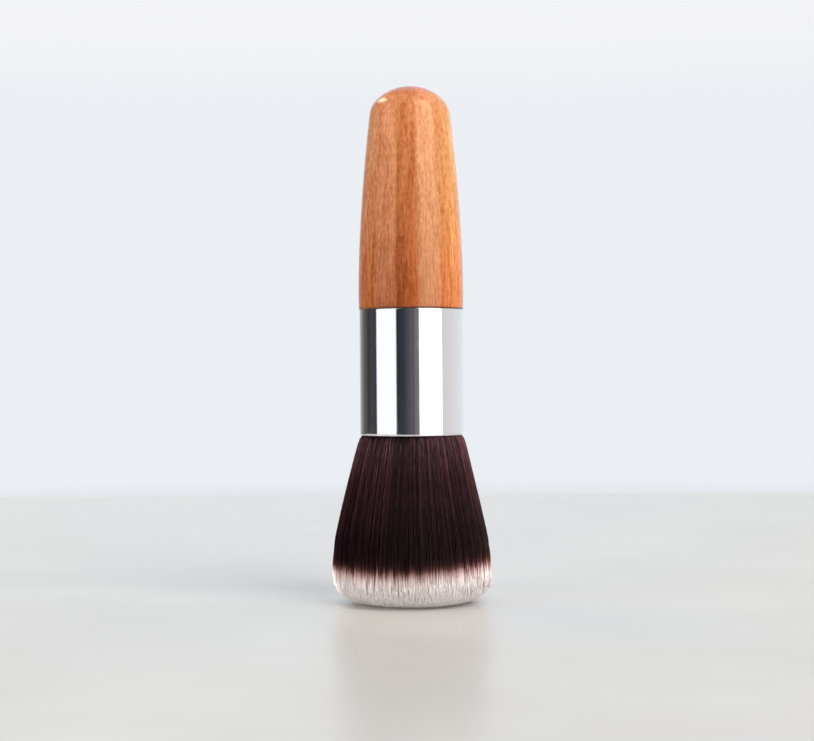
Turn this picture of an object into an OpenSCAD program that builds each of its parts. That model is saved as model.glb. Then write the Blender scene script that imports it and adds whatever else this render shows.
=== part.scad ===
// Round makeup brush with a wooden handle, a polished ferrule and a domed bundle of bristles.
// Millimetres. The brush stands on its bristle tips: the origin is the centre of the flat that the tips
// stand on, and +Z runs up the brush's own axis to the rounded end of the handle.

/* [Ferrule] */
// Outside diameter of the ferrule tube
ferrule_d = 23; // [19:0.5:28]
// Wall thickness of the ferrule tube
ferrule_wall = 0.5; // [0.4:0.05:0.9]
// Length of the ferrule, from its mouth to the handle's shoulder
ferrule_len = 27.8; // [27:0.1:40]
// Radius of the rolled edge at the ferrule's mouth
mouth_round = 0.35; // [0.1:0.05:0.8]
// Radius of the edge at the ferrule's other end, under the handle
top_round = 0.15; // [0.05:0.05:0.3]

/* [Handle] */
// Length of the handle that shows above the ferrule
handle_len = 49.6; // [30:0.1:80]
// How far the handle's shoulder stands proud of the ferrule, all round
shoulder_proud = 0.1; // [0:0.05:0.4]
// Radius of the lacquered edge at the shoulder
shoulder_round = 0.3; // [0.1:0.05:0.8]
// How much the handle swells from its shoulder to its widest place, all round
belly_swell = 0.05; // [0:0.05:0.5]
// Height of the handle's widest place above its shoulder
belly_h = 4.5; // [2:0.5:12]
// How much thinner the handle gets from its widest place to the top, on the diameter
handle_taper = 6.9; // [2:0.1:9]
// Bow of the tapering side: 1 is straight, and more keeps it full for longer
side_bow = 1.7; // [1.2:0.1:2.5]
// Height of the rounded top of the handle
dome_h = 6.1; // [3:0.1:12]

/* [Tenon and glue] */
// Length of the tenon that the handle has inside the ferrule
tenon_len = 11.5; // [8:0.5:13]
// Thickness of the glue between the tenon and the ferrule
glue_gap = 0.15; // [0.1:0.05:0.3]
// Number of glue grooves round the tenon
groove_count = 2; // [1:1:3]
// Width of a glue groove
groove_w = 1.2; // [0.6:0.1:1.4]
// Depth of a glue groove
groove_depth = 0.4; // [0.2:0.05:0.8]
// Bevel at the tenon's end
tenon_bevel = 0.8; // [0.3:0.1:1.2]

/* [Bristles] */
// Length of the bristles that shows, from the ferrule's mouth to the tips
bristle_len = 37; // [28:0.5:55]
// Widest diameter of the bristles, just above the tips
spread_d = 35.8; // [28:0.2:46]
// How far the sides of the spread bristles bow outwards, 0 for straight sides
spread_bow = 0.25; // [0:0.05:0.6]
// Height of the domed end of the bristles
tip_dome_h = 9; // [5:0.5:12]
// Squareness of the dome: 2 is an ellipse, more is flatter with a tighter edge
tip_dome_power = 2.5; // [2:0.1:3.5]
// Depth of the flat where the tips press on the table
flat_depth = 0.5; // [0.3:0.1:0.8]
// Rings of strands, which give six strands times the square of this number
strand_rings = 8; // [8:1:9]
// Share of its room across that a strand fills
strand_fill = 0.74; // [0.6:0.01:0.85]
// Share of its room across that a strand's tip fills
tip_fill = 0.36; // [0.2:0.02:0.6]
// Length of the taper at a strand's tip
tip_taper = 5; // [2:0.5:7]
// Gap between the outer bristles and the ferrule's bore
bristle_clear = 0.05; // [0.03:0.01:0.15]

/* [Roots] */
// Depth of the bonded bristle roots in the ferrule, from its mouth
root_depth = 10.5; // [9:0.5:11.5]
// Depth of the binding in the ferrule, from its mouth
binding_depth = 4; // [3:0.25:4.5]
// Thickness of the binding thread
thread_d = 0.45; // [0.3:0.05:0.6]
// Turns of the binding thread
thread_turns = 6; // [4:1:7]
// Thickness of the resin over the bristle roots
resin_over = 2; // [1:0.25:2.5]
// Gap between the wound thread and the ferrule's bore
thread_clear = 0.15; // [0.1:0.05:0.3]

/* [Hidden] */
$fn = 48;

// Steps along the handle's outline, and in a quarter turn of a small edge
outline_steps = 20;
dome_steps = 12;
edge_steps = 4;

ferrule_r = ferrule_d / 2;
bore_r = ferrule_r - ferrule_wall;
mouth_edge_r = min(mouth_round, ferrule_wall * 0.8);
top_edge_r = min(top_round, ferrule_wall * 0.4);

// Heights, from the tips up
mouth_z = bristle_len;
ferrule_top_z = mouth_z + ferrule_len;
handle_top_z = ferrule_top_z + handle_len;
tenon_end_z = ferrule_top_z - tenon_len;
root_top_z = mouth_z + root_depth;
binding_z = mouth_z + binding_depth;
binding_h = thread_turns * thread_d;
binding_top_z = binding_z + binding_h;
resin_top_z = root_top_z + resin_over;

shoulder_r = ferrule_r + shoulder_proud;
belly_r = shoulder_r + belly_swell;
tenon_r = bore_r - glue_gap;
thread_r = bore_r - thread_clear;
root_r = thread_r - thread_d;

// The outer strands don't fill their cells, so the cells reach a little further than the spread bristles.
mouth_bundle_r = bore_r - bristle_clear;
outer_reach = 1 - (1 - strand_fill) / (3 * strand_rings);
spread_r = spread_d / 2 / outer_reach;

// A quarter circle of radius r about [x, y], from the first angle to the second
function corner(x, y, r, from, to) =
    [for (i = [0 : edge_steps]) let (a = from + (to - from) * i / edge_steps)
        [x + r * cos(a), y + r * sin(a)]];

// Radius of the handle at height s above its shoulder: a bowed side, widest a little above the shoulder,
// under a rounded top
function side_r(s) =
    s < belly_h ? belly_r - belly_swell * pow(1 - s / belly_h, 2)
    : belly_r - handle_taper / 2 * pow((s - belly_h) / (handle_len - belly_h), side_bow);
function dome_share(s) =
    let (over = max(0, s - (handle_len - dome_h)) / dome_h) sqrt(max(0, 1 - over * over));
function handle_r(s) = side_r(s) * dome_share(s);

// Heights for the handle's outline, from the shoulder's edge to just short of the top, closer on the dome
handle_heights = concat(
    [for (i = [1 : outline_steps])
        shoulder_round + (handle_len - dome_h - shoulder_round) * i / outline_steps],
    [for (i = [1 : dome_steps - 1]) handle_len - dome_h + dome_h * sin(90 * i / dome_steps)]);

// Outline of the part of the handle that shows
module handle_side_2d() {
    edge_x = side_r(shoulder_round) - shoulder_round;
    polygon(concat(
        [[0, ferrule_top_z]],
        corner(edge_x, ferrule_top_z + shoulder_round, shoulder_round, -90, 0),
        [for (s = handle_heights) [handle_r(s), ferrule_top_z + s]],
        [[0, handle_top_z]]));
}

// Outline of the tenon with its glue grooves
module tenon_2d() {
    room = tenon_len - tenon_bevel;
    difference() {
        polygon([
            [0, tenon_end_z], [tenon_r - tenon_bevel, tenon_end_z], [tenon_r, tenon_end_z + tenon_bevel],
            [tenon_r, ferrule_top_z], [0, ferrule_top_z]]);
        for (i = [1 : groove_count])
            translate([tenon_r - groove_depth,
                    tenon_end_z + tenon_bevel + room * i / (groove_count + 1) - groove_w / 2])
                square([2 * groove_depth, groove_w]);
    }
}

// Lacquered wooden handle, turned in one piece with its tenon
module handle() {
    color("#c9743c")
        rotate_extrude()
            union() {
                handle_side_2d();
                tenon_2d();
            }
}

// Polished tube with a rounded edge at its mouth
module ferrule() {
    color("#d9dbde")
        rotate_extrude()
            polygon(concat(
                [[bore_r, ferrule_top_z], [bore_r, mouth_z]],
                corner(ferrule_r - mouth_edge_r, mouth_z + mouth_edge_r, mouth_edge_r, -90, 0),
                corner(ferrule_r - top_edge_r, ferrule_top_z - top_edge_r, top_edge_r, 0, 90)));
}

// Cured glue that fills the room between the tenon and the ferrule, grooves and all
module tenon_glue() {
    color("#e6d9a8")
        rotate_extrude()
            difference() {
                translate([tenon_r - groove_depth, tenon_end_z + tenon_bevel])
                    square([groove_depth + glue_gap, tenon_len - tenon_bevel]);
                tenon_2d();
            }
}

// Resin cast over the bristle roots and round their sides, down to the binding
module root_resin() {
    color("#b98a3a")
        rotate_extrude()
            polygon([
                [0, root_top_z], [root_r, root_top_z], [root_r, binding_top_z], [bore_r, binding_top_z],
                [bore_r, resin_top_z], [0, resin_top_z]]);
}

// Thread wound round the bristle roots, as one closed band of its turns
module binding_thread() {
    color("#efe8d8")
        rotate_extrude()
            polygon(concat(
                [[root_r, binding_top_z], [root_r, binding_z]],
                [for (turn = [0 : thread_turns - 1], i = [0 : 4])
                    let (a = -90 + 45 * i)
                    if (i > 0 || turn == 0)
                        [root_r + thread_d / 2 + thread_d / 2 * cos(a),
                            binding_z + (turn + 0.5) * thread_d + thread_d / 2 * sin(a)]]));
}

// Strands: a disc is cut into rings of three-cornered cells, and each cell holds one strand. Point [k, i]
// is corner i of ring k, which has six k corners, and ring 0 is the single point at the middle.
function ring_corner(k, i) = [k, k == 0 ? 0 : i % (6 * k)];
function corner_index(p) = p[0] == 0 ? 0 : 1 + 3 * p[0] * (p[0] - 1) + p[1];
function flat_place(p) =
    p[0] / strand_rings * (p[0] == 0 ? [0, 0] : [cos(60 * p[1] / p[0]), sin(60 * p[1] / p[0])]);
function ring_cells(k) = [
    for (side = [0 : 5]) each concat(
        [for (j = [0 : k - 1]) [
            ring_corner(k, side * k + j), ring_corner(k, side * k + j + 1),
            ring_corner(k - 1, side * (k - 1) + j)]],
        [for (j = [0 : 1 : k - 2]) [
            ring_corner(k - 1, side * (k - 1) + j + 1), ring_corner(k - 1, side * (k - 1) + j),
            ring_corner(k, side * k + j + 1)]])];

// Radius of the bundle's outside at height z, and height of the tips at a share of the radius
function bundle_r(z) =
    let (t = (mouth_z - max(z, tip_dome_h)) / (mouth_z - tip_dome_h))
    mouth_bundle_r + (spread_r - mouth_bundle_r) * t * (1 + spread_bow * (1 - t));
function tip_z(share) =
    max(0, tip_dome_h * (1 - pow(1 - pow(share, tip_dome_power), 1 / tip_dome_power)) - flat_depth);

// A cell's strand, as three points a level: [height, share filled] from the mouth to the tip
function middle_of(cell) = (flat_place(cell[0]) + flat_place(cell[1]) + flat_place(cell[2])) / 3;
function strand_levels(cell, bends) =
    let (end_z = tip_z(norm(middle_of(cell))), taper_z = min(end_z + tip_taper, tip_dome_h))
    concat(
        [[mouth_z, strand_fill]],
        [for (i = [1 : 1 : bends]) [mouth_z + (taper_z - mouth_z) * i / (bends + 1), strand_fill]],
        [[taper_z, strand_fill], [end_z, tip_fill]]);
function strand_points(cell, bends) =
    let (middle = middle_of(cell))
    [for (level = strand_levels(cell, bends), p = cell)
        let (z = level[0], xy = (middle + (flat_place(p) - middle) * level[1]) * bundle_r(z)) [xy.x, xy.y, z]];

// Two triangles for each side of a tube between three points and the next three
function tube_faces(a, b) = [
    for (i = [0 : 2]) let (j = (i + 1) % 3) each [[a[i], b[j], b[i]], [a[i], a[j], b[j]]]];
function strand_faces(cell, first, levels) = concat(
    tube_faces([for (p = cell) corner_index(p)], [first, first + 1, first + 2]),
    [for (n = [1 : levels - 1]) let (f = first + 3 * (n - 1))
        each tube_faces([f, f + 1, f + 2], [f + 3, f + 4, f + 5])],
    [let (f = first + 3 * (levels - 1)) [f, f + 1, f + 2]]);

// Bristles: strands that spread from the ferrule's mouth to a dome of tips, on their bonded root
module bristles() {
    outer_rings = 2;
    inner_bends = 0;
    outer_bends = 1;
    inner_cells = [for (k = [1 : strand_rings - outer_rings]) each ring_cells(k)];
    outer_cells = [for (k = [strand_rings - outer_rings + 1 : strand_rings]) each ring_cells(k)];
    inner_levels = 3 + inner_bends;
    outer_levels = 3 + outer_bends;

    // The face at the mouth has every corner of the cells, and the root's wall starts at its last ring.
    mouth_points = [for (k = [0 : strand_rings], i = [0 : max(0, 6 * k - 1)])
        let (xy = flat_place([k, i]) * mouth_bundle_r) [xy.x, xy.y, mouth_z]];
    rim_count = 6 * strand_rings;
    rim_first = len(mouth_points) - rim_count;
    wall = [[root_r, binding_z], [root_r, root_top_z]];
    wall_first = len(mouth_points);
    wall_points = [for (w = wall, i = [0 : rim_count - 1])
        [w[0] * cos(360 * i / rim_count), w[0] * sin(360 * i / rim_count), w[1]]];
    root_end = wall_first + len(wall_points);
    inner_first = root_end + 1;
    outer_first = inner_first + 3 * inner_levels * len(inner_cells);

    wall_starts = [rim_first, wall_first, wall_first + rim_count];
    wall_faces = [for (w = [0 : 1], i = [0 : rim_count - 1])
        let (j = (i + 1) % rim_count, a = wall_starts[w], b = wall_starts[w + 1])
        each [[a + i, b + j, a + j], [a + i, b + i, b + j]]];
    top_faces = [for (i = [0 : rim_count - 1])
        let (a = wall_starts[2]) [a + (i + 1) % rim_count, a + i, root_end]];

    color("#3a2024")
        polyhedron(
            points = concat(
                mouth_points, wall_points, [[0, 0, root_top_z]],
                [for (cell = inner_cells) each strand_points(cell, inner_bends)],
                [for (cell = outer_cells) each strand_points(cell, outer_bends)]),
            faces = concat(
                wall_faces, top_faces,
                [for (n = [0 : len(inner_cells) - 1])
                    each strand_faces(inner_cells[n], inner_first + 3 * inner_levels * n, inner_levels)],
                [for (n = [0 : len(outer_cells) - 1])
                    each strand_faces(outer_cells[n], outer_first + 3 * outer_levels * n, outer_levels)]),
            convexity = 10);
}

handle();
ferrule();
tenon_glue();
root_resin();
binding_thread();
bristles();
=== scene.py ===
import math

import bmesh
import bpy
import numpy as np
from mathutils import Matrix, Vector, kdtree


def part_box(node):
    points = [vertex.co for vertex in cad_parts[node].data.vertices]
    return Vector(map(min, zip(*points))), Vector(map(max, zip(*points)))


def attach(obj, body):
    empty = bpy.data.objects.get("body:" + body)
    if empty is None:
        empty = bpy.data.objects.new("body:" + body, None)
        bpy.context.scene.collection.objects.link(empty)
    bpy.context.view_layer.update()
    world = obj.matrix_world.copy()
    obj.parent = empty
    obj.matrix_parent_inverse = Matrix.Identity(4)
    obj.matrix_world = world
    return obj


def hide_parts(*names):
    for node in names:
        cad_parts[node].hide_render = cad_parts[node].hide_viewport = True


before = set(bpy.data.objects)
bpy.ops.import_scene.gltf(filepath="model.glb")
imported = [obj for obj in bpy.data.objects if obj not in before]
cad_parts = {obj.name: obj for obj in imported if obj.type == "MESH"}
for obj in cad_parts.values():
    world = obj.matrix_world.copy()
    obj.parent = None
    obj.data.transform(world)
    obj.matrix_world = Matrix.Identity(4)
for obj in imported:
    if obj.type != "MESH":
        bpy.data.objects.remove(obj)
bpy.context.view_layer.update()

MM = 0.001
SEED = 11
GOLDEN_ANGLE = math.pi * (3 - math.sqrt(5))

# Sizes from the frame. The brush stands on its bristle tips, at z = 0, with its axis on Z.
ferrule_low, ferrule_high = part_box("ferrule")
handle_low, handle_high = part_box("handle")
resin_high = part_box("root_resin")[1]
bristles_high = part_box("bristles")[1]
MOUTH_Z = ferrule_low.z
SHOULDER_Z = ferrule_high.z
TENON_END_Z = handle_low.z
TOP_Z = handle_high.z
ROOT_TOP_Z = bristles_high.z
FERRULE_R = ferrule_high.x
BELLY_R = handle_high.x
BORE_R = resin_high.x
SPREAD_R = bristles_high.x

# The handle's own sizes: its shoulder, its bowed side and its rounded top
SHOULDER_PROUD = 0.1 * MM
SHOULDER_ROUND = 0.3 * MM
BELLY_H = 4.5 * MM
SIDE_TAPER = 3.45 * MM
SIDE_BOW = 1.7
DOME_H = 6.1 * MM
HANDLE_LEN = TOP_Z - SHOULDER_Z
SHOULDER_R = FERRULE_R + SHOULDER_PROUD

# The tenon and its two glue grooves
GLUE_GAP = 0.15 * MM
TENON_R = BORE_R - GLUE_GAP
TENON_BEVEL = 0.8 * MM
TENON_LEN = SHOULDER_Z - TENON_END_Z
GROOVES = 2
GROOVE_W = 1.2 * MM
GROOVE_DEPTH = 0.4 * MM

# The ferrule's rolled edge at the mouth, and its small edge under the handle
MOUTH_ROUND = 0.35 * MM
TOP_ROUND = 0.15 * MM
EDGE_MARGIN = 0.25 * MM

# How finely the turned pieces are divided, how near their points merge, and how sharp an edge stays sharp
HANDLE_STEPS = 192
FERRULE_STEPS = 256
SIDE_STEPS = 48
DOME_STEPS = 28
EDGE_STEPS = 6
MOUTH_STEPS = 8
MERGE_DIST = 0.001 * MM
SHARP_ANGLE = math.radians(40)


def linear(hex_code):
    """An sRGB hex colour as the linear one that a shader takes."""
    channels = [int(hex_code[i : i + 2], 16) / 255 for i in (0, 2, 4)]
    return tuple(c / 12.92 if c <= 0.04045 else ((c + 0.055) / 1.055) ** 2.4 for c in channels) + (1.0,)


def add(tree, kind, inputs=(), stops=(), **settings):
    """Adds a node with its settings. An input is a value or another node's output. Stops are a ramp's."""
    made = tree.nodes.new(kind)
    for name, value in settings.items():
        setattr(made, name, value)
    for name, value in dict(inputs).items():
        if isinstance(value, bpy.types.NodeSocket):
            tree.links.new(value, made.inputs[name])
        else:
            made.inputs[name].default_value = value
    for i, (place, shade) in enumerate(stops):
        elements = made.color_ramp.elements
        stop = elements[i] if i < len(elements) else elements.new(place)
        stop.position = place
        stop.color = linear(shade) if isinstance(shade, str) else (*shade, 1)
    return made


def new_material(name):
    """A material with an empty node tree, and that tree."""
    material = bpy.data.materials.new(name)
    material.use_nodes = True
    material.node_tree.nodes.clear()
    return material, material.node_tree


def new_object(name, data):
    """An object in the scene, at the origin and unturned."""
    made = bpy.data.objects.new(name, data)
    bpy.context.scene.collection.objects.link(made)
    return made


def grain_space(tree, across, along):
    """Object coordinates in grains of a size in millimetres: across the brush, and along it."""
    place = add(tree, "ShaderNodeTexCoord")
    scale = (1 / (across * MM), 1 / (across * MM), 1 / (along * MM))
    grain = add(tree, "ShaderNodeMapping", {"Vector": place.outputs["Object"], "Scale": scale})
    return grain.outputs["Vector"]


# The handle's block is glued up from strips that stand on edge across X. Each row is a place in millimetres
# and the block's tone there, at the foot and at the top. Strips meet where places lie close together.
STRIP_TONES = [
    (-10.08, "d47440", "fcb080"), (-7.44, "ba6433", "fcac78"), (-6.24, "b05932", "f89f6a"),
    (-3.6, "a8562e", "f29a68"), (-3.0, "944420", "da8650"), (0.84, "a45026", "d48050"),
    (1.44, "aa5a2e", "e29062"), (5.76, "b15e2b", "da8e57"), (6.6, "bb602c", "d79156"),
    (8.16, "c66c33", "dc9b57"), (9.12, "d0702e", "e4a75e")]
BLOCK_HALF_W = 12 * MM


def glued_strips(tree, x, up):
    """The colour of the strips, each of which is paler toward the top."""
    across = add(tree, "ShaderNodeMapRange", {
        "Value": x, "From Min": -BLOCK_HALF_W, "From Max": BLOCK_HALF_W})
    places = [(stop[0] * MM + BLOCK_HALF_W) / (2 * BLOCK_HALF_W) for stop in STRIP_TONES]
    foot = add(tree, "ShaderNodeValToRGB", {"Fac": across.outputs["Result"]}, stops=[
        (place, stop[1]) for place, stop in zip(places, STRIP_TONES)])
    top = add(tree, "ShaderNodeValToRGB", {"Fac": across.outputs["Result"]}, stops=[
        (place, stop[2]) for place, stop in zip(places, STRIP_TONES)])
    block = add(tree, "ShaderNodeMix", {
        "Factor": up, "A": foot.outputs["Color"], "B": top.outputs["Color"]}, data_type="RGBA")
    return block.outputs["Result"]


def bamboo_figure(tree, up):
    """The grain: long fibres low down, broken into short flecks toward the top, over broad bundles."""

    # A fibre in bamboo shows as a line about half a millimetre across, and two or three of them as a bundle.
    fibres = add(tree, "ShaderNodeTexNoise", {
        "Vector": grain_space(tree, across=0.42, along=6), "Scale": 1.0, "Detail": 2.0, "Roughness": 0.55})
    flecks = add(tree, "ShaderNodeTexNoise", {
        "Vector": grain_space(tree, across=0.56, along=1.2), "Scale": 1.0, "Detail": 2.0, "Roughness": 0.5})
    bundles = add(tree, "ShaderNodeTexNoise", {
        "Vector": grain_space(tree, across=1.2, along=34), "Scale": 1.0, "Detail": 2.0, "Roughness": 0.5})
    broken = add(tree, "ShaderNodeMapRange", {"Value": up, "To Min": 0.3, "To Max": 0.8})
    grain = add(tree, "ShaderNodeMix", {
        "Factor": broken.outputs["Result"], "A": fibres.outputs["Fac"], "B": flecks.outputs["Fac"]})
    contrast = add(tree, "ShaderNodeMapRange", {"Value": up, "To Min": 3.8, "To Max": 1.5})
    lines = add(tree, "ShaderNodeMath", {0: grain.outputs["Result"], 1: -0.5}, operation="ADD")
    figure = add(tree, "ShaderNodeMath", {
        0: lines.outputs["Value"], 1: contrast.outputs["Result"], 2: bundles.outputs["Fac"]},
        operation="MULTIPLY_ADD")
    return figure.outputs["Value"]


def grained_wood(tree, block, figure):
    """The block's colour, deeper and redder where the figure is low, with pale ends of fibre bundles."""
    depth = add(tree, "ShaderNodeMapRange", {"Value": figure, "From Min": 0.1, "From Max": 0.9})
    tint = add(tree, "ShaderNodeValToRGB", {"Fac": depth.outputs["Result"]}, stops=[
        (0.0, (0.385, 0.3, 0.22)), (0.5, (0.5, 0.5, 0.5)), (1.0, (0.6, 0.69, 0.82))])
    toned = add(tree, "ShaderNodeVectorMath", {0: block, 1: tint.outputs["Color"]}, operation="MULTIPLY")
    wood = add(tree, "ShaderNodeVectorMath", {0: toned.outputs["Vector"], "Scale": 2.0}, operation="SCALE")
    ends = add(tree, "ShaderNodeTexVoronoi", {
        "Vector": grain_space(tree, across=0.7, along=1.4), "Scale": 1.0, "Randomness": 1.0})
    end_mask = add(tree, "ShaderNodeMapRange", {
        "Value": ends.outputs["Distance"], "From Min": 0.1, "From Max": 0.4, "To Min": 0.1, "To Max": 0.0})
    flecked = add(tree, "ShaderNodeMix", {
        "Factor": end_mask.outputs["Result"], "A": wood.outputs["Vector"], "B": linear("f7b27a")},
        data_type="RGBA")
    return flecked.outputs["Result"]


def stain_and_painted_shade_at_ends(tree, wood, z):
    """Paints the ends: a deeper crown, partly end grain that drinks the stain and partly painted shade, and
    a painted shadow line at the shoulder.
    """
    # Painted shade: the crown is made deeper and more orange, partly as end grain that drinks the stain and
    # partly standing in for less light from above.
    crown = add(tree, "ShaderNodeMapRange", {
        "Value": z, "From Min": TOP_Z - 3 * MM, "From Max": TOP_Z - 0.8 * MM})
    crown_stain_and_shade = add(tree, "ShaderNodeMix", {
        "Factor": crown.outputs["Result"], "A": (1, 1, 1, 1), "B": (0.9, 0.55, 0.25, 1)}, data_type="RGBA")
    capped = add(tree, "ShaderNodeVectorMath", {0: wood, 1: crown_stain_and_shade.outputs["Result"]}, operation="MULTIPLY")
    # Painted shadow: a dark line on the shoulder's rounded edge, where the handle meets the ferrule.
    edge = add(tree, "ShaderNodeMapRange", {
        "Value": z, "From Min": SHOULDER_Z + 0.15 * MM, "From Max": SHOULDER_Z + 0.5 * MM,
        "To Min": 0.8, "To Max": 0.0})
    ends_with_painted_shade = add(tree, "ShaderNodeMix", {
        "Factor": edge.outputs["Result"], "A": capped.outputs["Vector"], "B": linear("3a1c0e")},
        data_type="RGBA")
    return ends_with_painted_shade.outputs["Result"]


def lacquered_bamboo():
    """Carbonised bamboo, turned and lacquered: warm strips of fine grain, with an amber gloss."""
    material, tree = new_material("lacquered_bamboo")
    place = add(tree, "ShaderNodeTexCoord")
    axes = add(tree, "ShaderNodeSeparateXYZ", {"Vector": place.outputs["Object"]})
    up = add(tree, "ShaderNodeMapRange", {
        "Value": axes.outputs["Z"], "From Min": SHOULDER_Z, "From Max": TOP_Z}).outputs["Result"]
    figure = bamboo_figure(tree, up)
    wood = grained_wood(tree, glued_strips(tree, axes.outputs["X"], up), figure)
    relief = add(tree, "ShaderNodeBump", {"Height": figure, "Strength": 0.2, "Distance": 0.02 * MM})
    film = add(tree, "ShaderNodeBump", {"Height": figure, "Strength": 0.1, "Distance": 0.01 * MM})
    shader = add(tree, "ShaderNodeBsdfPrincipled", {
        "Base Color": stain_and_painted_shade_at_ends(tree, wood, axes.outputs["Z"]), "Roughness": 0.19,
        "Specular Tint": (1.0, 0.8, 0.45, 1.0), "Normal": relief.outputs["Normal"],
        "Coat Weight": 0.2, "Coat Roughness": 0.09, "Coat IOR": 1.5, "Coat Normal": film.outputs["Normal"]})
    add(tree, "ShaderNodeOutputMaterial", {"Surface": shader.outputs["BSDF"]})
    return material


def polished_aluminium():
    """Drawn and polished aluminium: a near mirror, with faint draw lines along the tube, a little worn."""
    material, tree = new_material("polished_aluminium")

    # Real draw lines are finer than 0.1 mm, so these are drawn coarser, to show.
    lines = add(tree, "ShaderNodeTexNoise", {
        "Vector": grain_space(tree, across=0.25, along=30), "Scale": 1.0, "Detail": 2.0, "Roughness": 0.6})
    handling = add(tree, "ShaderNodeTexNoise", {
        "Vector": grain_space(tree, across=4, along=6), "Scale": 1.0, "Detail": 3.0, "Roughness": 0.55})
    worn = add(tree, "ShaderNodeMapRange", {
        "Value": handling.outputs["Fac"], "From Min": 0.35, "From Max": 0.7,
        "To Min": 0.035, "To Max": 0.09})
    relief = add(tree, "ShaderNodeBump", {
        "Height": lines.outputs["Fac"], "Strength": 0.12, "Distance": 0.01 * MM})
    shader = add(tree, "ShaderNodeBsdfPrincipled", {
        "Base Color": linear("eeeff1"), "Metallic": 1.0, "Roughness": worn.outputs["Result"],
        "Normal": relief.outputs["Normal"]})
    add(tree, "ShaderNodeOutputMaterial", {"Surface": shader.outputs["BSDF"]})
    return material


# A strand's UV map holds its tone across, and its height, moved by its dye's shift, up this span.
FIBRE_SPAN = 50 * MM

# The fibre's tone at heights in millimetres: undyed white, a short run, near black dye, then a paler
# red-brown toward the ferrule, and near black at its mouth, which is painted shadow under the ferrule's lip.
DYE_AND_MOUTH_SHADOW = [
    (0, "ede7e5"), (4.6, "ebe3e1"), (5.6, "e3d2cf"), (7.1, "ab8a84"), (8.0, "5f3c38"), (8.9, "2c1817"),
    (10.2, "190b0b"), (12, "100506"), (18, "190c0d"), (27, "2b1719"), (36.0, "442d33"), (36.4, "0c0708")]
DYED_FROM = 9 * MM
DYED_TO = 12.5 * MM

# The crimp's noise: how many tones of strand it tells apart, and how many crimps the span holds, so that a
# crimp is about 2 mm long, as on real fibre
TONE_STEPS = 45.0
CRIMPS = 26.0


def two_tone_fibre():
    """Soft crimped nylon, dyed red-brown to near black, with undyed white ends and a low, silky sheen."""
    material, tree = new_material("two_tone_fibre")
    strand = add(tree, "ShaderNodeUVMap", uv_map="OFBake")
    parts = add(tree, "ShaderNodeSeparateXYZ", {"Vector": strand.outputs["UV"]})
    # The ramp's last stop, near black at the ferrule's mouth, is painted shadow under its lip.
    dye = add(tree, "ShaderNodeValToRGB", {"Fac": parts.outputs["Y"]}, stops=[
        (height * MM / FIBRE_SPAN, shade) for height, shade in DYE_AND_MOUTH_SHADOW])

    # The strand's own tone, as factors of the dye's, and the glints of its crimp, both on dyed fibre alone
    lot = add(tree, "ShaderNodeValToRGB", {"Fac": parts.outputs["X"]}, stops=[
        (0.0, (0.33, 0.36, 0.38)), (0.5, (0.8, 0.82, 0.84)), (1.0, (2.1, 1.75, 1.8))])
    along = add(tree, "ShaderNodeMapping", {
        "Vector": strand.outputs["UV"], "Scale": (TONE_STEPS, CRIMPS, 1.0)})
    crimp = add(tree, "ShaderNodeTexNoise", {
        "Vector": along.outputs["Vector"], "Scale": 1.0, "Detail": 1.0})
    sheen = add(tree, "ShaderNodeMapRange", {
        "Value": crimp.outputs["Fac"], "From Min": 0.3, "From Max": 0.7, "To Min": 0.3, "To Max": 1.7})
    streaks = add(tree, "ShaderNodeVectorMath", {
        0: lot.outputs["Color"], "Scale": sheen.outputs["Result"]}, operation="SCALE")
    dyed = add(tree, "ShaderNodeMapRange", {
        "Value": parts.outputs["Y"],
        "From Min": DYED_FROM / FIBRE_SPAN, "From Max": DYED_TO / FIBRE_SPAN})
    even = add(tree, "ShaderNodeMix", {
        "Factor": dyed.outputs["Result"], "A": (1, 1, 1, 1), "B": streaks.outputs["Vector"]},
        data_type="RGBA")
    shade = add(tree, "ShaderNodeVectorMath", {
        0: dye.outputs["Color"], 1: even.outputs["Result"]}, operation="MULTIPLY")
    shader = add(tree, "ShaderNodeBsdfPrincipled", {
        "Base Color": shade.outputs["Vector"], "Roughness": 0.45, "Specular IOR Level": 0.15,
        "Specular Tint": (1.0, 0.7, 0.74, 1.0)})
    add(tree, "ShaderNodeOutputMaterial", {"Surface": shader.outputs["BSDF"]})
    return material


def cured_glue():
    """Epoxy, cured clear yellow."""
    material, tree = new_material("cured_glue")
    cloud = add(tree, "ShaderNodeTexNoise", {
        "Vector": grain_space(tree, across=1.5, along=1.5), "Scale": 1.0, "Detail": 2.0})
    tone = add(tree, "ShaderNodeValToRGB", {"Fac": cloud.outputs["Fac"]}, stops=[
        (0.3, "d8c48a"), (0.7, "e8d9a6")])
    shader = add(tree, "ShaderNodeBsdfPrincipled", {"Base Color": tone.outputs["Color"], "Roughness": 0.25})
    add(tree, "ShaderNodeOutputMaterial", {"Surface": shader.outputs["BSDF"]})
    return material


def amber_resin():
    """Cast resin, amber and slightly cloudy, with a smooth self-levelled face."""
    material, tree = new_material("amber_resin")
    cloud = add(tree, "ShaderNodeTexNoise", {
        "Vector": grain_space(tree, across=2.5, along=2.5), "Scale": 1.0, "Detail": 3.0})
    tone = add(tree, "ShaderNodeValToRGB", {"Fac": cloud.outputs["Fac"]}, stops=[
        (0.3, "a8732c"), (0.7, "c4913f")])
    shader = add(tree, "ShaderNodeBsdfPrincipled", {"Base Color": tone.outputs["Color"], "Roughness": 0.2})
    add(tree, "ShaderNodeOutputMaterial", {"Surface": shader.outputs["BSDF"]})
    return material


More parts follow.
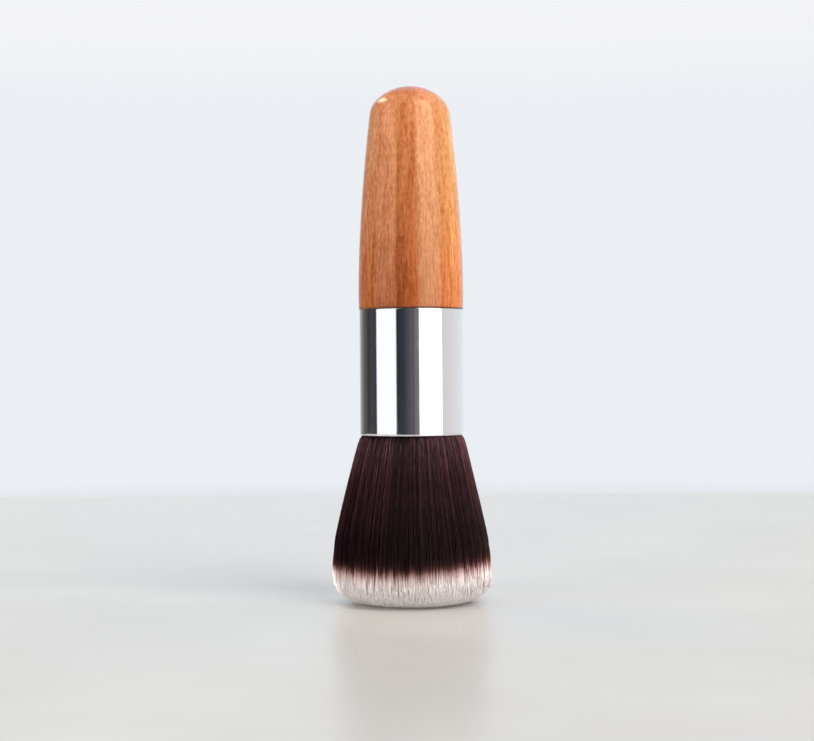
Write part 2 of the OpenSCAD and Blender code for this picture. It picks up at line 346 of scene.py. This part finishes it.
def waxed_thread():
    """Waxed cotton thread: pale, with its twist as fine slanted ribs."""
    material, tree = new_material("waxed_thread")
    twist = add(tree, "ShaderNodeTexWave", {
        "Vector": grain_space(tree, across=0.3, along=0.3), "Scale": 1.0, "Distortion": 1.0},
        bands_direction="DIAGONAL")
    tone = add(tree, "ShaderNodeValToRGB", {"Fac": twist.outputs["Fac"]}, stops=[
        (0.2, "d2c8b2"), (0.8, "efe8d8")])
    relief = add(tree, "ShaderNodeBump", {
        "Height": twist.outputs["Fac"], "Strength": 0.5, "Distance": 0.05 * MM})
    shader = add(tree, "ShaderNodeBsdfPrincipled", {
        "Base Color": tone.outputs["Color"], "Roughness": 0.7, "Normal": relief.outputs["Normal"]})
    add(tree, "ShaderNodeOutputMaterial", {"Surface": shader.outputs["BSDF"]})
    return material


def arc(x, z, radius, first, last, steps):
    """Points of an arc about (x, z), in degrees from the X axis."""
    angles = np.radians(np.linspace(first, last, steps + 1))
    return [(x + radius * math.cos(a), z + radius * math.sin(a)) for a in angles]


def turned(name, outline, steps, closed=False):
    """A piece turned about the brush's axis from an outline of (radius, height) points."""
    bm = bmesh.new()
    points = [bm.verts.new((r, 0, z)) for r, z in outline]
    edges = [bm.edges.new(pair) for pair in zip(points, points[1:])]
    if closed:
        edges.append(bm.edges.new((points[-1], points[0])))
    bmesh.ops.spin(bm, geom=points + edges, cent=(0, 0, 0), axis=(0, 0, 1), angle=2 * math.pi,
        steps=steps, use_merge=True)
    bmesh.ops.remove_doubles(bm, verts=bm.verts, dist=MERGE_DIST)
    bmesh.ops.recalc_face_normals(bm, faces=bm.faces)
    mesh = bpy.data.meshes.new(name)
    bm.to_mesh(mesh)
    bm.free()
    mesh.shade_smooth()
    mesh.set_sharp_from_angle(angle=SHARP_ANGLE)
    return new_object(name, mesh)


def dress(piece, material, slot, *nodes):
    """Gives a piece its finish, and sets it in place of the CAD nodes that it stands for."""
    piece.data.materials.clear()
    piece.data.materials.append(material)
    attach(piece, "root")
    if nodes:
        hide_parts(*nodes)


def side_radius(height):
    """The handle's radius at a height over its shoulder: a bowed side, widest low down, under a dome."""
    if height < BELLY_H:
        side = BELLY_R - (BELLY_R - SHOULDER_R) * (1 - height / BELLY_H) ** 2
    else:
        side = BELLY_R - SIDE_TAPER * ((height - BELLY_H) / (HANDLE_LEN - BELLY_H)) ** SIDE_BOW
    over = max(0.0, height - (HANDLE_LEN - DOME_H)) / DOME_H
    return side * math.sqrt(max(0.0, 1 - over * over))


def tenon_outline():
    """The tenon's bevelled end, its glue grooves and its side, up to the shoulder."""
    room = TENON_LEN - TENON_BEVEL
    bevel_z = TENON_END_Z + TENON_BEVEL
    outline = [(0, TENON_END_Z), (TENON_R - TENON_BEVEL, TENON_END_Z), (TENON_R, bevel_z)]
    for i in range(1, GROOVES + 1):
        middle = bevel_z + room * i / (GROOVES + 1)
        for r, z in ((0, -1), (-1, -1), (-1, 1), (0, 1)):
            outline.append((TENON_R + r * GROOVE_DEPTH, middle + z * GROOVE_W / 2))
    outline.append((TENON_R, SHOULDER_Z))
    return outline


def make_handle():
    """The handle with its tenon, turned in one piece."""
    outline = tenon_outline()
    edge_x = side_radius(SHOULDER_ROUND) - SHOULDER_ROUND
    outline += arc(edge_x, SHOULDER_Z + SHOULDER_ROUND, SHOULDER_ROUND, -90, 0, EDGE_STEPS)
    straight = HANDLE_LEN - DOME_H
    for i in range(1, SIDE_STEPS + 1):
        height = SHOULDER_ROUND + (straight - SHOULDER_ROUND) * i / SIDE_STEPS
        outline.append((side_radius(height), SHOULDER_Z + height))
    for i in range(1, DOME_STEPS):
        height = straight + DOME_H * math.sin(math.pi / 2 * i / DOME_STEPS)
        outline.append((side_radius(height), SHOULDER_Z + height))
    outline.append((0, TOP_Z))
    return turned("bamboo_handle", outline, HANDLE_STEPS)


def make_ferrule():
    """The ferrule's tube, with the rolled edge at its mouth."""
    outline = [(BORE_R, SHOULDER_Z), (BORE_R, MOUTH_Z)]
    outline += arc(FERRULE_R - MOUTH_ROUND, MOUTH_Z + MOUTH_ROUND, MOUTH_ROUND, -90, 0, MOUTH_STEPS)
    for z in (MOUTH_Z + MOUTH_ROUND + EDGE_MARGIN, SHOULDER_Z - TOP_ROUND - EDGE_MARGIN):
        outline.append((FERRULE_R, z))
    outline += arc(FERRULE_R - TOP_ROUND, SHOULDER_Z - TOP_ROUND, TOP_ROUND, 0, 90, EDGE_STEPS)
    return turned("ferrule_tube", outline, FERRULE_STEPS, closed=True)


# The bristles' envelope, as the frame has it: a flare from the mouth down to a dome of tips, with a flat
MOUTH_BUNDLE_R = BORE_R - 0.05 * MM
ROOT_R = BORE_R - 0.6 * MM
FLARE_BOW = 0.25
TIP_DOME_H = 9 * MM
TIP_DOME_POWER = 3.4
FLAT_DEPTH = 0.5 * MM

# Freed of the ferrule, the outer strands swell over its lip, and the swelling fades down the flare.
LIP_SWELL = 0.55 * MM
LIP_REACH = 0.6 * MM
SWELL_FADE = 9 * MM

# The bundle bows a little to the left between the mouth and the tips, and is drawn in a little round the
# height where its dome of tips begins.
BUNDLE_BOW = 0.25 * MM
PINCH = 0.4 * MM
PINCH_TOP = 13.5 * MM
PINCH_FOOT = 2.5 * MM

# A real fibre is 0.07 to 0.1 mm thick. These are about twice as coarse, and so are fewer.
STRANDS = 26000
STRAND_R = 0.095 * MM
STRAND_SIDES = 3
TIP_R = 0.06 * MM
TIP_TAPER = 1.8 * MM
CLUMPS = 4600
BUNDLES = 9

# Levels of a strand's points: just under the mouth, parts of the way down to its taper, and in its taper
LIP_DROPS = (0.7 * MM, 2 * MM, 5 * MM)
SHAFT_PARTS = (0.25, 0.5, 0.75, 1.0)
TAPER_PART = 0.45

# A strand's thickness at each level but its tip, as a share of STRAND_R: packed thin in the root, and
# fullest low on the shaft
THICKNESS = (0.75, 0.75, 1, 1, 1, 1, 1.25, 1.25, 1.25, 1.05)

# How far strands and clumps stray from their even places, in shares of the bundle's radius
STRAND_JITTER = 0.004
CLUMP_JITTER = 0.015

# How the strands differ. A clump leans as one, its strands draw together a little, each strand waves in its
# own way, and a few stray further. WAVE_TURN is in radians over the strand's length.
TIP_SCATTER = 0.18 * MM
CLUMP_LEAN = 0.1 * MM
STRAND_LEAN = 0.08 * MM
CLUMP_PULL = 0.2
WAVE = 0.06 * MM
WAVE_TURN = 9
STRAY_SHARE = 0.012
STRAY_LEAN = 3.5

# How much of a strand's tone is its own and how much its clump's, and how unevenly both take up the dye
OWN_TONE = 0.3
CLUMP_TONE = 0.7
CLUMP_DYE = 0.3 * MM
STRAND_DYE = 0.25 * MM

# How much higher the white reaches everywhere, then toward the right edge, then toward both edges
WHITE_LIFT = 0.33 * MM
WHITE_SLOPE = 0.68 * MM
WHITE_BOW = 0.95 * MM


def flare_radius(z):
    """The bundle's radius at a height between the tips and the mouth."""
    t = (MOUTH_Z - np.maximum(z, TIP_DOME_H)) / (MOUTH_Z - TIP_DOME_H)
    return MOUTH_BUNDLE_R + (SPREAD_R - MOUTH_BUNDLE_R) * t * (1 + FLARE_BOW * (1 - t))


def tip_height(share):
    """How high a strand's tip stands at a share of the bundle's radius."""
    dome = TIP_DOME_H * (1 - (1 - share**TIP_DOME_POWER) ** (1 / TIP_DOME_POWER))
    return np.maximum(dome - FLAT_DEPTH, 0)


def spread_places(count, rng, jitter):
    """Evenly spread places in a disc of radius 1, from its middle outwards."""
    i = np.arange(count)
    share = np.sqrt((i + 0.5) / count)
    places = np.stack([share * np.cos(i * GOLDEN_ANGLE), share * np.sin(i * GOLDEN_ANGLE)], axis=1)
    places += rng.normal(0, jitter, places.shape)
    return places / np.maximum(1, np.linalg.norm(places, axis=1))[:, None]


def nearest(places, centres):
    """For every place, which of the centres is nearest."""
    tree = kdtree.KDTree(len(centres))
    for i, (x, y) in enumerate(centres):
        tree.insert((x, y, 0), i)
    tree.balance()
    return np.array([tree.find((x, y, 0))[1] for x, y in places])


def strand_heights(tip):
    """The heights of every strand's points, from the root's top down to the tip."""
    high = [ROOT_TOP_Z, MOUTH_Z] + [MOUTH_Z - drop for drop in LIP_DROPS]
    levels = [np.full(STRANDS, level) for level in high]
    levels += [high[-1] + (tip + TIP_TAPER - high[-1]) * part for part in SHAFT_PARTS]
    levels += [tip + TAPER_PART * TIP_TAPER, tip]
    return np.stack(levels, axis=1)


def bundle_radius(z, share):
    """How far from the axis the bundle's edge lies, for strands at a share of its radius."""
    drop = np.maximum(MOUTH_Z - z, 0)
    root = MOUTH_BUNDLE_R + (ROOT_R - MOUTH_BUNDLE_R) * (z - MOUTH_Z) / (ROOT_TOP_Z - MOUTH_Z)
    radius = np.where(z > MOUTH_Z, root, flare_radius(z))
    radius -= PINCH * np.sin(math.pi * np.clip((PINCH_TOP - z) / (PINCH_TOP - PINCH_FOOT), 0, 1))
    swell = (share[:, None] ** 3) * LIP_SWELL * (1 - np.exp(-drop / LIP_REACH)) * np.exp(-drop / SWELL_FADE)
    return radius + swell


def grow_strands():
    """Every strand's share of the radius, its points, radii and tone, and its dye's shift."""
    rng = np.random.default_rng(SEED)
    places = spread_places(STRANDS, rng, STRAND_JITTER)
    centres = spread_places(CLUMPS, rng, CLUMP_JITTER)
    clump = nearest(places, centres)
    share = np.minimum(np.linalg.norm(places, axis=1), 1)

    # The draws keep this order, because each one moves the next.
    tip = tip_height(share) + np.abs(rng.normal(0, TIP_SCATTER, STRANDS))
    lean = rng.normal(0, CLUMP_LEAN, (CLUMPS, 2))[clump] + rng.normal(0, STRAND_LEAN, (STRANDS, 2))
    lean += (centres[clump] - places) * SPREAD_R * CLUMP_PULL
    wave = rng.normal(0, WAVE, (STRANDS, 2))
    phase = rng.uniform(0, 2 * math.pi, STRANDS)
    tone = rng.uniform(0, 1, STRANDS) * OWN_TONE + rng.uniform(0, 1, CLUMPS)[clump] * CLUMP_TONE
    dye = rng.normal(0, CLUMP_DYE, CLUMPS)[clump] + rng.normal(0, STRAND_DYE, STRANDS)
    dye -= WHITE_LIFT + WHITE_SLOPE * places[:, 0] + WHITE_BOW * places[:, 0] ** 2
    lean[rng.uniform(0, 1, STRANDS) < STRAY_SHARE] *= STRAY_LEAN

    z = strand_heights(tip)
    t = np.maximum(MOUTH_Z - z, 0) / MOUTH_Z
    xy = places[:, None, :] * bundle_radius(z, share)[:, :, None]
    xy += lean[:, None, :] * (t**1.5)[:, :, None]
    xy += wave[:, None, :] * (t * np.sin(phase[:, None] + WAVE_TURN * t))[:, :, None]
    xy[:, :, 0] -= BUNDLE_BOW * np.sin(math.pi * np.minimum(t, 1))
    radii = np.tile([part * STRAND_R for part in THICKNESS] + [TIP_R], (STRANDS, 1))
    points = np.concatenate([xy, z[:, :, None]], axis=2)
    return {"share": share, "points": points, "radii": radii, "tone": tone, "dye": dye}


def strand_section():
    """The strands' cross-section, with corners at a radius of 1."""
    ring = bpy.data.curves.new("strand_section", "CURVE")
    spline = ring.splines.new("POLY")
    spline.points.add(STRAND_SIDES - 1)
    for i, point in enumerate(spline.points):
        angle = 2 * math.pi * i / STRAND_SIDES
        point.co = (math.cos(angle), math.sin(angle), 0, 1)
    spline.use_cyclic_u = True
    return new_object("strand_section", ring)


def drawn_strands(name, points, radii, section):
    """A mesh of open tubes along the strands' points. Each tube's vertices follow the last one's."""
    curve = bpy.data.curves.new(name, "CURVE")
    curve.dimensions = "3D"
    curve.bevel_mode = "OBJECT"
    curve.bevel_object = section
    count, length = radii.shape
    co = np.concatenate([points, np.ones((count, length, 1))], axis=2).astype(np.float32)
    for i in range(count):
        spline = curve.splines.new("POLY")
        spline.points.add(length - 1)
        spline.points.foreach_set("co", co[i].ravel())
        spline.points.foreach_set("radius", radii[i].astype(np.float32))
    drawn = new_object(name + "_curve", curve)
    bpy.context.view_layer.update()
    mesh = bpy.data.meshes.new_from_object(drawn.evaluated_get(bpy.context.evaluated_depsgraph_get()))
    mesh.name = name
    bpy.data.objects.remove(drawn)
    bpy.data.curves.remove(curve)
    return mesh


def close_ends(mesh):
    """Closes both ends of every tube. The vertices keep their order."""
    bm = bmesh.new()
    bm.from_mesh(mesh)
    bmesh.ops.holes_fill(bm, edges=[edge for edge in bm.edges if edge.is_boundary], sides=STRAND_SIDES)
    bmesh.ops.recalc_face_normals(bm, faces=bm.faces)
    bm.to_mesh(mesh)
    bm.free()


def map_dye(mesh, tone, dye):
    """Writes each strand's tone, and its height moved by its dye's shift, to the mesh's one UV map."""
    place = np.zeros(len(mesh.vertices) * 3, np.float32)
    mesh.vertices.foreach_get("co", place)
    strand = np.arange(len(mesh.vertices)) // (len(mesh.vertices) // len(tone))
    uv = np.stack([tone[strand], (place[2::3] + dye[strand]) / FIBRE_SPAN], axis=1)
    corner = np.zeros(len(mesh.loops), np.int32)
    mesh.loops.foreach_get("vertex_index", corner)
    for layer in list(mesh.uv_layers):
        mesh.uv_layers.remove(layer)
    mesh.uv_layers.new(name="OFBake").uv.foreach_set("vector", uv[corner].astype(np.float32).ravel())


def make_bristles():
    """The bundle in rings of strands, from its core to its outside."""
    strands = grow_strands()
    rings = np.array_split(np.argsort(strands["share"]), BUNDLES)
    section = strand_section()
    pieces = []
    for i, chosen in enumerate(rings):
        name = f"bristle_ring_{i + 1}"
        mesh = drawn_strands(name, strands["points"][chosen], strands["radii"][chosen], section)
        close_ends(mesh)
        map_dye(mesh, strands["tone"][chosen], strands["dye"][chosen])
        mesh.shade_smooth()
        pieces.append(new_object(name, mesh))
    bpy.data.objects.remove(section)
    return pieces


dress(make_handle(), lacquered_bamboo(), "lacquered_bamboo", "handle")
dress(make_ferrule(), polished_aluminium(), "polished_aluminium", "ferrule")
fibre = two_tone_fibre()
for bundle in make_bristles():
    dress(bundle, fibre, "bristle_fibre", "bristles")

# What the ferrule hides keeps its CAD form.
hidden_finishes = {"tenon_glue": cured_glue, "root_resin": amber_resin, "binding_thread": waxed_thread}
for node_name, finish in hidden_finishes.items():
    node_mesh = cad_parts[node_name].data
    node_mesh.materials.clear()
    node_mesh.materials.append(finish())


# The photograph's view: pixel places in its 814 by 741 frame, and the scale at the brush's axis
PHOTO_W = 814
PHOTO_H = 741
AXIS_X = 411.45
EYE_Y = 373
TIPS_Y = 601.5
PIXELS_PER_M = 4500
FOCAL_PIXELS = 1710
SENSOR_W = 36
ROLL = math.radians(-0.4)


def make_camera():
    """A level camera at the photograph's eye height and distance, rolled by the lean that the brush has."""
    camera = new_object("camera", bpy.data.cameras.new("camera"))
    camera.data.sensor_width = SENSOR_W
    camera.data.lens = FOCAL_PIXELS / PHOTO_W * SENSOR_W
    camera.data.clip_start = 0.01
    camera.data.clip_end = 20
    across = (PHOTO_W / 2 - AXIS_X) / PIXELS_PER_M
    up = (TIPS_Y - EYE_Y) / PIXELS_PER_M
    pitch = (EYE_Y - PHOTO_H / 2) / FOCAL_PIXELS
    turn = Matrix.Rotation(math.pi / 2 + pitch, 4, "X") @ Matrix.Rotation(ROLL, 4, "Z")
    camera.matrix_world = Matrix.Translation((across, -FOCAL_PIXELS / PIXELS_PER_M, up)) @ turn
    bpy.context.scene.camera = camera


def pale_table():
    """Honed pale stone: nearly even, with a soft sheen that holds a blurred reflection."""
    material, tree = new_material("pale_table")
    mottle = add(tree, "ShaderNodeTexNoise", {
        "Vector": grain_space(tree, across=45, along=45), "Scale": 1.0, "Detail": 4.0, "Roughness": 0.6})
    tone = add(tree, "ShaderNodeValToRGB", {"Fac": mottle.outputs["Fac"]}, stops=[
        (0.3, "dbd7d1"), (0.7, "e1ded8")])
    shader = add(tree, "ShaderNodeBsdfPrincipled", {
        "Base Color": tone.outputs["Color"], "Roughness": 0.3, "Specular IOR Level": 0.27})
    add(tree, "ShaderNodeOutputMaterial", {"Surface": shader.outputs["BSDF"]})
    return material


# The table's back edge is the photograph's horizon. Its front edge lies just behind the camera, so that the
# ferrule's foot mirrors little of the table.
FLOOR_BACK = 332 * MM
FLOOR_FRONT = -480 * MM
FLOOR_HALF_W = 800 * MM


def make_floor():
    """The table top."""
    bm = bmesh.new()
    bmesh.ops.create_grid(bm, x_segments=1, y_segments=1, size=1)
    bmesh.ops.scale(bm, verts=bm.verts, vec=(FLOOR_HALF_W, (FLOOR_BACK - FLOOR_FRONT) / 2, 1))
    bmesh.ops.translate(bm, verts=bm.verts, vec=(0, (FLOOR_BACK + FLOOR_FRONT) / 2, 0))
    mesh = bpy.data.meshes.new("table_top")
    bm.to_mesh(mesh)
    bm.free()
    mesh.materials.append(pale_table())
    new_object("table_top", mesh)


# What stands round the brush, as a bearing in degrees and a radiance. The bearing is 0 where the camera is,
# and grows to the picture's right: two softboxes, the right one stronger, with dark gaps and pale walls.
# KEY is the right one's radiance, and nothing round the brush is brighter.
KEY = 3.6
STUDIO = [
    (-180, (0.74, 0.86, 1.0)), (-164, (0.7, 0.8, 0.92)), (-158, (0.5, 0.5, 0.48)),
    (-143, (0.27, 0.27, 0.26)), (-131, (0.13, 0.126, 0.122)), (-117, (0.08, 0.077, 0.072)),
    (-111, (0.045, 0.042, 0.042)), (-98, (0.062, 0.06, 0.074)), (-84, (0.045, 0.047, 0.06)),
    (-82.6, (1.15, 1.15, 1.15)), (-34.3, (1.15, 1.15, 1.15)), (-33.3, (0.024, 0.026, 0.034)),
    (-15, (0.042, 0.046, 0.058)), (-12, (0.06, 0.065, 0.076)), (-5, (0.08, 0.086, 0.1)),
    (0, (0.12, 0.115, 0.128)), (4, (0.1, 0.09, 0.1)), (9, (0.2, 0.172, 0.186)), (15, (0.2, 0.173, 0.187)),
    (17, (0.3, 0.28, 0.29)), (20, (KEY, KEY, KEY)), (69.5, (KEY, KEY, KEY)), (71, (0.72, 0.71, 0.72)),
    (110, (0.8, 0.79, 0.8)), (150, (0.86, 0.88, 0.9)), (180, (0.74, 0.86, 1.0))]

# The ceiling's radiance, and the height in degrees at which it begins and over which it blends in
CEILING = 0.5
CEILING_FROM = 60
CEILING_BLEND = 5


def room_light(tree, way):
    """The light from all round: softboxes and walls by their bearing, under an even ceiling."""
    forward = add(tree, "ShaderNodeMath", {0: way.outputs["Y"], 1: -1.0}, operation="MULTIPLY")
    bearing = add(tree, "ShaderNodeMath", {
        0: way.outputs["X"], 1: forward.outputs["Value"]}, operation="ARCTAN2")
    turn = add(tree, "ShaderNodeMapRange", {
        "Value": bearing.outputs["Value"], "From Min": -math.pi, "From Max": math.pi})
    walls = add(tree, "ShaderNodeValToRGB", {"Fac": turn.outputs["Result"]}, stops=[
        ((degrees + 180) / 360, [c / KEY for c in radiance]) for degrees, radiance in STUDIO])
    overhead = add(tree, "ShaderNodeMapRange", {
        "Value": way.outputs["Z"], "From Min": math.sin(math.radians(CEILING_FROM)),
        "From Max": math.sin(math.radians(CEILING_FROM + CEILING_BLEND))})
    room = add(tree, "ShaderNodeMix", {
        "Factor": overhead.outputs["Result"], "A": walls.outputs["Color"],
        "B": (CEILING / KEY, CEILING / KEY, CEILING / KEY, 1)}, data_type="RGBA")
    return add(tree, "ShaderNodeBackground", {"Color": room.outputs["Result"], "Strength": KEY})


def pale_wall(tree, way):
    """The plain wall behind the brush, a little greyer down at the table's far edge."""
    wall = add(tree, "ShaderNodeValToRGB", {"Fac": way.outputs["Z"]}, stops=[
        (0.0, "ebeff3"), (0.155, "ebeff3"), (0.19, "f3f3f5")])
    haze = add(tree, "ShaderNodeMapRange", {
        "Value": way.outputs["Z"], "From Min": -0.0735, "From Max": -0.062, "To Min": 1.0, "To Max": 0.0})
    backdrop = add(tree, "ShaderNodeMix", {
        "Factor": haze.outputs["Result"], "A": wall.outputs["Color"], "B": linear("e0e4e7")},
        data_type="RGBA")
    return add(tree, "ShaderNodeBackground", {"Color": backdrop.outputs["Result"], "Strength": 1.0})


def make_studio():
    """Plain soft studio light all round, and a pale wall for the camera alone."""
    world = bpy.data.worlds.new("studio")
    bpy.context.scene.world = world
    world.use_nodes = True
    tree = world.node_tree
    tree.nodes.clear()
    place = add(tree, "ShaderNodeTexCoord")
    way = add(tree, "ShaderNodeSeparateXYZ", {"Vector": place.outputs["Generated"]})
    ray = add(tree, "ShaderNodeLightPath")
    seen = add(tree, "ShaderNodeMixShader", {
        0: ray.outputs["Is Camera Ray"], 1: room_light(tree, way).outputs["Background"],
        2: pale_wall(tree, way).outputs["Background"]})
    add(tree, "ShaderNodeOutputWorld", {"Surface": seen.outputs["Shader"]})


def new_lamp(name, kind, **settings):
    """A lamp with its settings, in metres, radians and watts."""
    lamp = bpy.data.lights.new(name, kind)
    for setting, value in settings.items():
        setattr(lamp, setting, value)
    return new_object(name, lamp)


def aim_fill(lamp, place, target):
    """Puts a fill at its place and turns it to its target. Nothing mirrors it."""
    lamp.location = place
    lamp.rotation_euler = (lamp.location - Vector(target)).to_track_quat("Z", "Y").to_euler()
    lamp.visible_glossy = False


# The high lamp: its size and radiance, how far it stands from the handle's top and which way, and the way
# that its long side points, so that its glint lies level
HIGH_LONG = 0.42
HIGH_SHORT = 0.12
HIGH_RADIANCE = 7
HIGH_REACH = 0.8
HIGH_WAY = (-0.57, 0.47, 0.675)
HIGH_LONG_WAY = (-0.28, -0.56, 0.35)


def make_high_lamp():
    """A small warm lamp, high behind on the left, which draws a glint on the handle's rounded top."""
    high = new_lamp("high_lamp", "AREA", shape="RECTANGLE", size=HIGH_LONG, size_y=HIGH_SHORT,
        color=(1.0, 0.88, 0.72), energy=HIGH_RADIANCE * math.pi * HIGH_LONG * HIGH_SHORT)
    way = Vector(HIGH_WAY).normalized()
    short = way.cross(Vector(HIGH_LONG_WAY)).normalized()
    turn = Matrix((short.cross(way), short, way)).transposed().to_4x4()
    high.matrix_world = Matrix.Translation(Vector((0, 0, TOP_Z)) + way * HIGH_REACH) @ turn
    high.visible_camera = False


def make_low_fill():
    """A narrow fill, low in front on the left, which lifts the white tips out of the table's shade."""
    low = new_lamp("low_fill", "SPOT", energy=3.2, spot_size=math.radians(10), spot_blend=0.8,
        shadow_soft_size=0.02)
    aim_fill(low, (-0.12, -0.4, 0.03), (0, 0, 0.001))


def make_edge_fills():
    """Two narrow fills at the sides, a little behind, which lift the dark fibres at the bundle's edges."""
    for name, x, energy, tint in (
            ("left_fill", -0.38, 110, (1.0, 1.0, 1.0)), ("right_fill", 0.38, 28, (1.0, 0.78, 0.7))):
        edge = new_lamp(name, "SPOT", energy=energy, color=tint, spot_size=math.radians(5), spot_blend=0.7,
            shadow_soft_size=0.02)
        aim_fill(edge, (x, 0.11, 0.035), (0, 0, 0.026))


def make_side_fill():
    """A soft fill from the left, just behind the brush, for the side that both softboxes miss."""
    side = new_lamp("side_fill", "AREA", shape="RECTANGLE", size=0.3, size_y=0.4, energy=0.42)
    aim_fill(side, (-0.6, 0.1, 0.12), (0, 0, 0.05))
    side.visible_camera = False


bpy.context.scene.view_settings.view_transform = "Standard"
make_camera()
make_floor()
make_studio()
make_high_lamp()
make_low_fill()
make_edge_fills()
make_side_fill()
